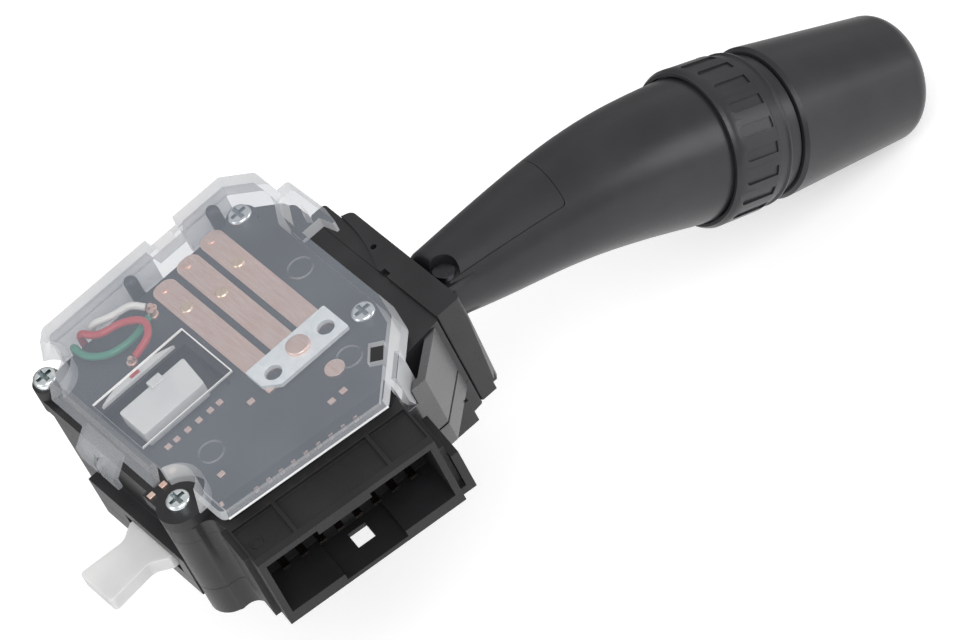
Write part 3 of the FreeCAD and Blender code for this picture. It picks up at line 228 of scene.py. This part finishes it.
copper_strip = plated_metal("rolled_copper_alloy", "#f8cfbe", "#ffe6da", (0.32, 0.46), 0.5,
                            ALONG_THE_STRIP)
zinc_plate = plated_metal("zinc_plated_steel", "#d9e1e4", "#f2f6f7", (0.16, 0.30), 1.1)
# A darker zinc for the screw recesses: painted shade.
recess_zinc_painted_shade = plated_metal("zinc_with_painted_recess_shade", "#7d8587", "#9aa2a4", (0.25, 0.40), 0.8)
# A dark tin for the blades: painted shade for blades deep in the socket.
blade_tin_painted_shade = plated_metal("dark_tin_painted_shade", "#5e5650", "#6e665f", (0.18, 0.28), 0.8)
bright_zinc = plated_metal("bright_zinc_strip", "#eaf0f3", "#fafdff", (0.38, 0.52), 1.6, metal=0.25)
spring_steel = plated_metal("drawn_spring_steel", "#8e9092", "#a6a8aa", (0.25, 0.38), 0.8)
contact_silver = plated_metal("silver_alloy_contact", "#f4d3b2", "#fde6cc", (0.30, 0.42), 0.6)
black_oxide = plated_metal("black_oxide_steel", "#3c3c40", "#4a4a4e", (0.30, 0.42), 0.5)
print("metals", copper_strip.name, zinc_plate.name)

# %% [markdown]
# ## Milky polypropylene
#
# The lid is natural polypropylene, 1.5 mm thick. It passes most of the light and scatters the
# rest, so what lies under it keeps its outline and loses contrast. The lid, looked at square on,
# hides little, and the panel over the slider, which is thinner, hides less. The skirts are seen
# through a longer path and look whiter, so they are painted whiter, as painted light, the front
# skirt and the left leg a little less so. The rims, seen along their length, are painted nearly
# white, as a painted highlight. So the lid has five materials that differ in how much they hide
# and in their painted light.

# %% Milky polypropylene
RIPPLE_DEPTH = 0.05 * MM


def milky_polypropylene(name, milk, cover, gloss):
    material = new_material(name)
    where = add(material, "ShaderNodeTexCoord").outputs["Object"]
    haze = add(material, "ShaderNodeTexNoise", {
        "Vector": where, "Scale": per_mm(CLOUD_SIZE), "Detail": 1.0})
    amount = add(material, "ShaderNodeMapRange", {
        "Value": haze.outputs["Fac"], "From Min": 0.3, "From Max": 0.7,
        "To Min": cover * 0.93, "To Max": cover * 1.07})
    ripple = add(material, "ShaderNodeBump", {
        "Height": haze.outputs["Fac"], "Strength": 0.15, "Distance": RIPPLE_DEPTH})
    shader = add(material, "ShaderNodeBsdfPrincipled", {
        "Base Color": linear(milk), "Roughness": gloss, "IOR": 1.49,
        "Alpha": amount.outputs["Result"], "Normal": ripple.outputs["Normal"]})
    add(material, "ShaderNodeOutputMaterial", {"Surface": shader.outputs["BSDF"]})
    return material


lid_milk = milky_polypropylene("polypropylene_lid", "#8f959f", 0.27, 0.28)
panel_milk = milky_polypropylene("polypropylene_panel", "#8f959e", 0.17, 0.22)
# Skirt and leg are painted whiter, as painted light; the rim is painted near-white, a painted
# highlight.
skirt_milk_painted_light = milky_polypropylene("polypropylene_skirt_painted_light", "#dfe0e2", 0.50, 0.30)
leg_milk_painted_light = milky_polypropylene("polypropylene_leg_painted_light", "#b8babe", 0.36, 0.30)
rim_milk_painted_highlight = milky_polypropylene("polypropylene_rim_painted_highlight", "#f4f4f4", 0.80, 0.32)
print("polypropylene", lid_milk.name, panel_milk.name, skirt_milk_painted_light.name, rim_milk_painted_highlight.name)

# %% [markdown]
# ## Rounded edges
#
# A moulding never has a perfectly sharp edge: the tool leaves a radius of a few tenths of a
# millimetre, and that radius catches the light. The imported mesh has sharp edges, so each piece in
# view gets a copy with its flat facets merged, its edges rounded by a Bevel modifier and its
# curves shaded smooth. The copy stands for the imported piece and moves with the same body.

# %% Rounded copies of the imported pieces
SHARP = math.radians(32)
WELD = 0.002 * MM
FLAT = math.radians(0.7)
rounded = {}


def welded_mesh(node):
    shape = bmesh.new()
    shape.from_mesh(frame["nodes"][node].data)
    bmesh.ops.remove_doubles(shape, verts=shape.verts, dist=WELD)
    bmesh.ops.dissolve_limit(shape, angle_limit=FLAT, verts=shape.verts, edges=shape.edges)
    for face in shape.faces:
        face.smooth = True
        face.material_index = 0
    for edge in shape.edges:
        edge.smooth = edge.calc_face_angle(math.pi) < SHARP
    mesh = bpy.data.meshes.new(node + "_rounded")
    shape.to_mesh(mesh)
    shape.free()
    mesh.materials.clear()
    return mesh


def round_edges(piece, edge_mm, segments=2):
    bevel = piece.modifiers.new("moulded_edge", "BEVEL")
    bevel.width = edge_mm * MM
    bevel.segments = segments
    bevel.limit_method = "ANGLE"
    bevel.angle_limit = SHARP
    bevel.harden_normals = True


def rounded_copy(node, material, edge_mm=0.2):
    piece = bpy.data.objects.new(node + "_rounded", welded_mesh(node))
    bpy.context.scene.collection.objects.link(piece)
    piece.data.materials.append(material)
    round_edges(piece, edge_mm)
    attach(piece, node_bodies[node])
    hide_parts(node)
    rounded[node] = piece
    return piece


print("sharp edges start at", round(math.degrees(SHARP)), "degrees")

# %% [markdown]
# ## The black case and the lever
#
# The case mouldings stack up and show their seams, so each keeps its own copy, with an edge of
# about a quarter of a millimetre that draws the seam as a thin light line.

# %% Case and lever copies
case_nodes = ["bottom_cover", "main_housing", "middle_frame", "column_flange"]
for node in case_nodes:
    rounded_copy(node, case_polyamide, 0.28)
rounded_copy("connector_shroud", socket_polyamide, 0.22)
# The corner wall takes the black with painted sheen.
rounded_copy("side_guides", sheen_painted_polyamide, 0.22)
rounded_copy("contact_plate", plate_polyamide, 0.15)
for node in ("lever_body", "lever_patch", "index_band", "fog_ring", "end_knob"):
    rounded_copy(node, lever_abs, 0.15)
rounded_copy("turn_carrier", case_polyamide, 0.15)
print("rounded pieces", len(rounded))

# %% [markdown]
# ## Shallow grooves in the ring
#
# The ring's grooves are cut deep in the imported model. On the real ring they are shallow thumb
# grips, so the copy's groove floors move half a millimetre outwards from the ring's axis.

# %% Ring grooves
ring_joint = next(j for j in frame["record"]["behaviour"]["joints"] if j["name"] == "fog_ring_turn")
ring_place, ring_axis = Vector(ring_joint["pos_m"]), Vector(ring_joint["axis"]).normalized()
GROOVE_FLOOR = (17.08 * MM, 17.16 * MM)
GROOVE_LIFT = 0.5 * MM
lifted = 0
for vert in rounded["fog_ring"].data.vertices:
    spoke = vert.co - ring_place
    spoke -= ring_axis * spoke.dot(ring_axis)
    if GROOVE_FLOOR[0] < spoke.length < GROOVE_FLOOR[1]:
        vert.co += spoke.normalized() * GROOVE_LIFT
        lifted += 1
print("groove points lifted", lifted)

# %% [markdown]
# ## White and metal pieces
#
# The slider, the curved strip and the cancelling finger are acetal. The springs are copper strip,
# held down by a zinc-plated bar and one copper rivet. The screws are zinc-plated, but for the
# black one in the lever's neck.

# %% White and metal copies
for node in ("slider_block", "curved_strip", "cancel_finger", "detent_cam", "turn_plunger"):
    rounded_copy(node, acetal, 0.15)
for node in ("leaf_contact_1", "leaf_contact_2", "leaf_contact_3", "clamp_rivet", "contact_pads",
             "feed_strip"):
    rounded_copy(node, copper_strip, 0.08)
for node in ("case_screws", "plate_screws"):
    rounded_copy(node, zinc_plate, 0.10)
rounded_copy("clamp_plate", bright_zinc, 0.10)
rounded_copy("neck_screw", black_oxide, 0.08)
print("rounded pieces", len(rounded))

# %% [markdown]
# ## Painted shade in the screw recesses, and contact bumps
#
# A second finish on part of a piece needs no new mesh: the faces that carry it take another
# material. Here they are the walls and floor of each cross recess, which take a darker zinc as
# painted shade, and the bump near each copper spring's end.

# %% Painted faces
RECESS_RADIUS = 1.95 * MM
RECESS_DEPTH = 1.05 * MM
SCREW_PLACES = {"case_screws": ((-34.2, 36.4), (-35.4, -15.5)),
                "plate_screws": ((20.6, 35.5), (21.2, -9.6))}


def paint_faces(piece, material, wanted):
    piece.data.materials.append(material)
    last = len(piece.data.materials) - 1
    painted = [face for face in piece.data.polygons if wanted(face)]
    for face in painted:
        face.material_index = last
    return len(painted)


# The recess faces take the darker zinc, as painted shade.
for node, places in SCREW_PLACES.items():
    head_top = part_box(node)[1].z
    centres = [Vector(spot) * MM for spot in places]
    count = paint_faces(rounded[node], recess_zinc_painted_shade, lambda face: (
        head_top - RECESS_DEPTH < face.center.z < head_top - WELD
        and min((face.center.xy - centre).length for centre in centres) < RECESS_RADIUS))
    print(node, "recess faces", count)
BUMP_RADIUS = 1.6 * MM
BUMPS = {"leaf_contact_1": (12.55, 25.7), "leaf_contact_2": (5.15, 22.2),
         "leaf_contact_3": (-2.35, 25.5)}
for node, (bump_x, bump_y) in BUMPS.items():
    leaf = rounded[node]
    middle = Vector((bump_x, bump_y)) * MM
    paint_faces(leaf, contact_silver, lambda face: all(
        (leaf.data.vertices[v].co.xy - middle).length < BUMP_RADIUS for v in face.vertices))
print("contact bumps", len(BUMPS))

# %% [markdown]
# ## Pieces that keep their imported shape
#
# Wires, solder, blades and the hidden spring and pin are already as they should be, so they only
# get a finish, in the material slots of their own objects.

# %% Finishes on imported pieces
# The connector pins take the dark tin, as painted shade.
packed_finishes = {"lead_green": green_pvc, "lead_red": red_pvc, "lead_white": white_pvc,
                   "solder_joints": copper_strip, "connector_pins": blade_tin_painted_shade,
                   "turn_spring": spring_steel, "tilt_pin": spring_steel}
for node, material in packed_finishes.items():
    packed = frame["nodes"][node]
    packed.data.materials.clear()
    packed.data.materials.append(material)
print("finished in place", len(packed_finishes))

# %% [markdown]
# ## The lid's depths of milk
#
# The lid is one moulding, so it is one copy. Each of its faces takes the milk of its place: level
# faces are lid, the sunk panel's floor is panel, upright ones are skirt, those in front and on
# the left are leg, and the narrow ones that the bevel adds are rim; skirt and leg carry painted
# light, and rim a painted highlight. The lid throws no shadow on what lies under it, because the
# real one scatters the light and doesn't stop it.

# %% Clear cover
cover = rounded_copy("clear_cover", lid_milk, 0.22)
for milk in (skirt_milk_painted_light, rim_milk_painted_highlight, panel_milk, leg_milk_painted_light):
    cover.data.materials.append(milk)
LID, SKIRT_PAINTED_LIGHT, RIM_PAINTED_HIGHLIGHT, PANEL, LEG_PAINTED_LIGHT = range(5)
# The bevel's narrow faces take the rim milk, painted near-white as a painted highlight.
cover.modifiers["moulded_edge"].material = RIM_PAINTED_HIGHLIGHT
LEVEL = 0.8
SIDEWAYS = 0.3
LEFT_WALL = -33.5 * MM
FRONT_WALL = -31.0 * MM
PANEL_LEFT, PANEL_RIGHT, PANEL_FRONT, PANEL_BACK = (v * MM for v in (-33.0, -7.8, -2.2, 16.7))
PANEL_DEPTH = 0.5 * MM
cover_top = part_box("clear_cover")[1].z
panel_floor = cover_top - PANEL_DEPTH
# Upright faces take the skirt or leg milk, painted whiter as painted light.
for face in cover.data.polygons:
    middle = face.center
    over_panel = PANEL_LEFT < middle.x < PANEL_RIGHT and PANEL_FRONT < middle.y < PANEL_BACK
    level = abs(face.normal.z) > LEVEL
    on_floor = level and over_panel and abs(middle.z - panel_floor) < WELD
    in_front = middle.y < FRONT_WALL and abs(face.normal.x) < SIDEWAYS
    if level:
        face.material_index = PANEL if on_floor else LID
    else:
        face.material_index = LEG_PAINTED_LIGHT if in_front or middle.x < LEFT_WALL else SKIRT_PAINTED_LIGHT
cover.visible_shadow = False
cover.visible_diffuse = False
cover.visible_glossy = False
print("cover faces", len(cover.data.polygons))

# %% [markdown]
# ## Painted highlight on the lower front edge
#
# Light that enters the lid travels inside the wall and leaves at its cut edge, so the lower edge
# of the front skirt shines as a thin line. That line is a painted highlight: a slim bead in the
# near-white rim milk, swept along that edge as a curve.

# %% Bead on the front edge
BEAD_RADIUS = 0.24 * MM
FACES_FRONT = -0.9
front_corners = [cover.data.vertices[v].co.copy()
                 for face in cover.data.polygons for v in face.vertices
                 if face.center.y < FRONT_WALL and face.normal.y < FACES_FRONT]
lowest = min(corner.z for corner in front_corners)
low_line = sorted((c for c in front_corners if c.z < lowest + WELD), key=lambda c: c.x)
# The bead is a painted highlight along the edge.
bead_line = bpy.data.curves.new("front_edge_painted_highlight", "CURVE")
bead_line.dimensions = "3D"
bead_line.bevel_depth = BEAD_RADIUS
bead_line.use_fill_caps = True
run = bead_line.splines.new("POLY")
run.points.add(1)
for point, corner in zip(run.points, (low_line[0], low_line[-1])):
    point.co = (*corner, 1.0)
front_edge_painted_highlight = bpy.data.objects.new("front_edge_painted_highlight", bead_line)
bpy.context.scene.collection.objects.link(front_edge_painted_highlight)
bead_line.materials.append(rim_milk_painted_highlight)
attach(front_edge_painted_highlight, node_bodies["clear_cover"])
print("bead", round((low_line[-1] - low_line[0]).length / MM, 1), "mm long")

# %% [markdown]
# ## Painted highlight round the window panel
#
# The lid has a shallow panel over the slider, half a millimetre deep. Its step is polished and
# catches the light on three sides, as a thin white line. That line is a painted highlight: a slim
# open frame in the near-white rim milk that stands in the step.

# %% Panel edge
EDGE_WIDTH = 0.22 * MM


def new_piece(name, shape, material, node):
    mesh = bpy.data.meshes.new(name)
    shape.to_mesh(mesh)
    shape.free()
    mesh.materials.append(material)
    piece = bpy.data.objects.new(name, mesh)
    bpy.context.scene.collection.objects.link(piece)
    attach(piece, node_bodies[node])
    return piece


def open_frame(outer, inner, low_z, high_z):
    shape = bmesh.new()
    rings = []
    for x0, x1, y0, y1 in (outer, inner):
        for z in (low_z, high_z):
            corners = ((x0, y0), (x1, y0), (x1, y1), (x0, y1))
            rings.append([shape.verts.new((x, y, z)) for x, y in corners])
    outer_low, outer_high, inner_low, inner_high = rings
    for i in range(3):
        j = i + 1
        shape.faces.new((outer_high[i], outer_high[j], inner_high[j], inner_high[i]))
        shape.faces.new((outer_low[j], outer_low[i], inner_low[i], inner_low[j]))
        shape.faces.new((outer_low[i], outer_low[j], outer_high[j], outer_high[i]))
        shape.faces.new((inner_low[j], inner_low[i], inner_high[i], inner_high[j]))
    for end in (0, 3):
        shape.faces.new((outer_low[end], outer_high[end], inner_high[end], inner_low[end]))
    bmesh.ops.recalc_face_normals(shape, faces=shape.faces)
    return shape


panel_box = (PANEL_LEFT, PANEL_RIGHT, PANEL_FRONT, PANEL_BACK)
inside = (PANEL_LEFT + EDGE_WIDTH, PANEL_RIGHT - EDGE_WIDTH,
          PANEL_FRONT + EDGE_WIDTH, PANEL_BACK - EDGE_WIDTH)
# The frame is a painted highlight on the panel's step.
new_piece("panel_edge_painted_highlight", open_frame(panel_box, inside, panel_floor - WELD, cover_top), rim_milk_painted_highlight,
          "clear_cover")
panel_size = ((PANEL_RIGHT - PANEL_LEFT) / MM, (PANEL_BACK - PANEL_FRONT) / MM)
print("panel", [round(side, 1) for side in panel_size], "mm")

# %% [markdown]
# ## Small marks and tails
#
# The slider has a little tab at its back edge, and the curved strip carries a dab of red paint
# from assembly. Behind the lid's front skirt, copper tails come down the wall of the contact
# plate towards the socket. All are a millimetre or two wide and sit on the piece they belong to.

# %% Slider tab, paint mark and copper tails
def small_block(name, low_mm, high_mm, material, edge_mm, node):
    shape = bmesh.new()
    bmesh.ops.create_cube(shape, size=1.0)
    low_corner, high_corner = Vector(low_mm) * MM, Vector(high_mm) * MM
    for vert in shape.verts:
        for axis in range(3):
            vert.co[axis] = high_corner[axis] if vert.co[axis] > 0 else low_corner[axis]
    for face in shape.faces:
        face.smooth = True
    piece = new_piece(name, shape, material, node)
    round_edges(piece, edge_mm)
    return piece


slider_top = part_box("slider_block")[1].z / MM
strip_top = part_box("curved_strip")[1].z / MM
small_block("slider_tab", (-21.0, 12.7, slider_top - 1.5), (-17.5, 15.2, slider_top + 0.4),
            acetal, 0.2, "slider_block")
small_block("paint_dab", (-22.1, 19.5, strip_top - 0.3), (-19.7, 21.15, strip_top + 0.04),
            paint_mark, 0.02, "curved_strip")
WALL_START = (-29.91, -26.57)
WALL_SLOPE = -5.27 / 40.05
TAIL_FIRST, TAIL_PITCH, TAILS = -22.7, 3.15, 9
TAIL_HALF = 0.55
TAIL_FOOT, TAIL_TOP = 32.1, 33.7
for i in range(TAILS):
    tail_x = TAIL_FIRST + i * TAIL_PITCH
    wall_y = WALL_START[1] + (tail_x - WALL_START[0]) * WALL_SLOPE
    small_block("pin_tail_%d" % (i + 1), (tail_x - TAIL_HALF, wall_y - 0.25, TAIL_FOOT),
                (tail_x + TAIL_HALF, wall_y + 0.1, TAIL_TOP), copper_strip, 0.06, "contact_pads")
print("slider top", round(slider_top, 2), "strip top", round(strip_top, 2), "mm, tails", TAILS)

# %% [markdown]
# ## Camera
#
# The switch is shown as in a catalogue, through a long lens that hardly narrows what is farther
# away. The camera looks down at about 47 degrees from the connector side, rolled so that the
# lever points up to the right. Its axes are written as the directions of the picture's right and
# up.

# %% Camera
VIEW_RIGHT = Vector((0.73861853, -0.58911268, -0.32770247))
VIEW_UP = Vector((0.64325217, 0.47049162, 0.60403997))
VIEW_BACK = VIEW_RIGHT.cross(VIEW_UP)
CAMERA_PLACE = Vector((-280.3, -1062.7, 1171.7)) * MM
LENS_PIXELS = 7511
FRAME_WIDTH = 960
SENSOR_WIDTH = 36.0
FAR_END = 40.0
camera_data = bpy.data.cameras.new("camera")
camera_data.sensor_width = SENSOR_WIDTH
camera_data.lens = LENS_PIXELS / FRAME_WIDTH * SENSOR_WIDTH
camera_data.clip_end = FAR_END
camera = bpy.data.objects.new("camera", camera_data)
camera.matrix_world = Matrix.Translation(CAMERA_PLACE) @ Matrix(
    (VIEW_RIGHT, VIEW_UP, VIEW_BACK)).transposed().to_4x4()
bpy.context.scene.collection.objects.link(camera)
bpy.context.scene.camera = camera
print("lens", round(camera_data.lens, 1), "mm")

# %% [markdown]
# ## Pale floor
#
# The floor is white paper. It is the paper that looks white, not more lamp light on the object:
# where the camera, glass or metal sees it, a little glow is added, and the object's shadow stays
# on it. Black plastic mirrors what lies behind it, so behind the switch the paper turns grey and
# gives glossy rays no glow. The camera still sees it white there, because its own glow makes up
# for the grey.

# %% Floor
FLOOR_HALF = 12.0
FLOOR_GAP = 0.5 * MM
FLOOR_LIFT = 0.38
FADE_FROM, FADE_TO = 0.0, 0.14
PAPER_FRONT, PAPER_BACK = 0.8, 0.3
floor_height = cad_low.z - FLOOR_GAP
floor_mesh = bpy.data.meshes.new("floor")
floor_signs = ((-1, -1), (1, -1), (1, 1), (-1, 1))
floor_mesh.from_pydata([(x * FLOOR_HALF, y * FLOOR_HALF, floor_height) for x, y in floor_signs],
                       [], [(0, 1, 2, 3)])
floor = bpy.data.objects.new("floor", floor_mesh)
bpy.context.scene.collection.objects.link(floor)
pale_floor = new_material("pale_floor")
paths = add(pale_floor, "ShaderNodeLightPath")
spot = add(pale_floor, "ShaderNodeTexCoord").outputs["Object"]
across = add(pale_floor, "ShaderNodeSeparateXYZ", {"Vector": spot})
behind = add(pale_floor, "ShaderNodeMapRange", {
    "Value": across.outputs["Y"], "From Min": FADE_FROM, "From Max": FADE_TO}).outputs["Result"]
grey = add(pale_floor, "ShaderNodeMapRange", {
    "Value": behind, "To Min": PAPER_FRONT, "To Max": PAPER_BACK})
made_up = add(pale_floor, "ShaderNodeMapRange", {
    "Value": behind, "To Min": FLOOR_LIFT, "To Max": FLOOR_LIFT + PAPER_FRONT - PAPER_BACK})
mirrored = add(pale_floor, "ShaderNodeMapRange", {
    "Value": behind, "To Min": FLOOR_LIFT, "To Max": 0.0})
straight = add(pale_floor, "ShaderNodeMath", {
    0: paths.outputs["Is Camera Ray"],
    1: paths.outputs["Is Transmission Ray"]}, operation="MAXIMUM")
seen = add(pale_floor, "ShaderNodeMath", {
    0: straight.outputs["Value"], 1: made_up.outputs["Result"]}, operation="MULTIPLY")
lift = add(pale_floor, "ShaderNodeMath", {
    0: paths.outputs["Is Glossy Ray"], 1: mirrored.outputs["Result"],
    2: seen.outputs["Value"]}, operation="MULTIPLY_ADD")
glow = add(pale_floor, "ShaderNodeEmission", {
    "Color": (1, 1, 1, 1), "Strength": lift.outputs["Value"]})
paper = add(pale_floor, "ShaderNodeBsdfDiffuse", {"Color": grey.outputs["Result"]})
both = add(pale_floor, "ShaderNodeAddShader", {
    0: glow.outputs["Emission"], 1: paper.outputs["BSDF"]})
add(pale_floor, "ShaderNodeOutputMaterial", {"Surface": both.outputs["Shader"]})
floor.data.materials.append(pale_floor)
print("floor at", round(floor_height / MM, 1), "mm")

# %% [markdown]
# ## Lamps and surround
#
# Three broad lamps give long soft highlights along the lever: one overhead, one low from the
# right and one from the left. The surround is white, and darker behind the switch, so that the
# top edges of the black plastic stay black against the paper.

# %% Lamps and world
LAMP_TARGET = (55, 0, 0)


def soft_lamp(name, place_mm, size_mm, watts):
    lamp_data = bpy.data.lights.new(name, "AREA")
    lamp_data.shape = "RECTANGLE"
    lamp_data.size, lamp_data.size_y = size_mm[0] * MM, size_mm[1] * MM
    lamp_data.energy = watts
    lamp = bpy.data.objects.new(name, lamp_data)
    lamp.location = Vector(place_mm) * MM
    towards = Vector(LAMP_TARGET) * MM - lamp.location
    lamp.rotation_euler = towards.to_track_quat("-Z", "Y").to_euler()
    bpy.context.scene.collection.objects.link(lamp)


soft_lamp("overhead", (-100, -700, 950), (800, 600), 7)
soft_lamp("right_front", (1000, -720, 330), (600, 500), 3)
soft_lamp("left_side", (-950, 150, 450), (500, 900), 2.5)
WORLD_FRONT, WORLD_BACK = 0.66, 0.20
BACK_FROM, BACK_TO = 0.70, 1.0
world = bpy.data.worlds.new("studio")
world.use_nodes = True
world.node_tree.nodes.clear()
bpy.context.scene.world = world
direction = add(world, "ShaderNodeTexCoord").outputs["Generated"]
depth = add(world, "ShaderNodeSeparateXYZ", {"Vector": direction})
fall = add(world, "ShaderNodeMapRange", {
    "Value": depth.outputs["Y"], "From Min": BACK_FROM, "From Max": BACK_TO,
    "To Min": WORLD_FRONT, "To Max": WORLD_BACK})
surround = add(world, "ShaderNodeBackground", {
    "Color": (1, 1, 1, 1), "Strength": fall.outputs["Result"]})
add(world, "ShaderNodeOutputWorld", {"Surface": surround.outputs["Background"]})
bpy.context.scene.view_settings.view_transform = "Standard"
